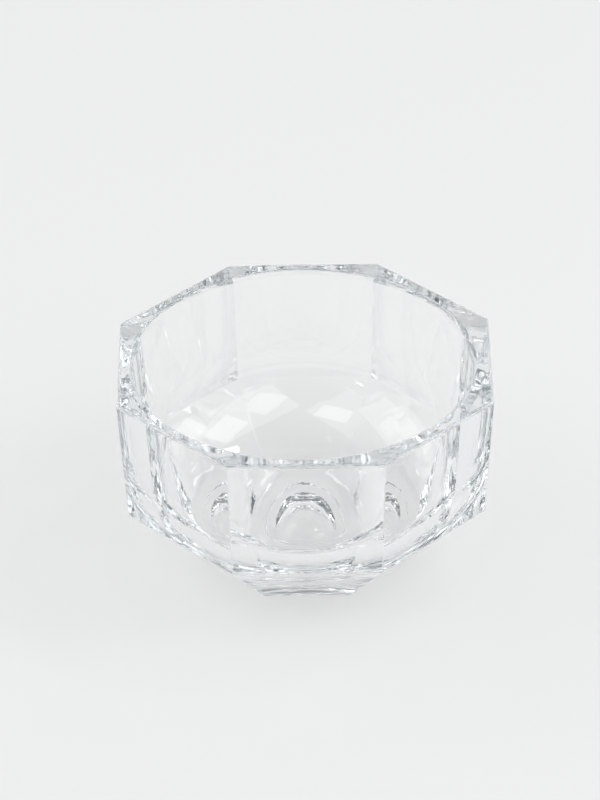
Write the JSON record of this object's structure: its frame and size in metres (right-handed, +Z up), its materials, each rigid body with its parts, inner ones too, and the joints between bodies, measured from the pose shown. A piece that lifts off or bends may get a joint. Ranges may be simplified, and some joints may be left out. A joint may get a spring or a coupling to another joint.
{
  "type": "dappen dish",
  "caption": "Small octagonal dish of clear pressed glass with a round well, a tapered underside and a flat standing ring, for holding liquids and powders while working.",
  "frame": {"origin": "centre of the plane that the foot stands on, on the axis of the well", "axes": "+Z up along the axis of the well, out of its mouth; one of the flat facets faces -Y, and its opposite faces +Y"},
  "size_m": [0.06, 0.06, 0.0342],
  "materials": {
    "clear_glass": "clear, fire-polished pressed glass"
  },
  "bodies": {
    "root": {"glass_dish": "clear_glass"}
  },
  "joints": []
}
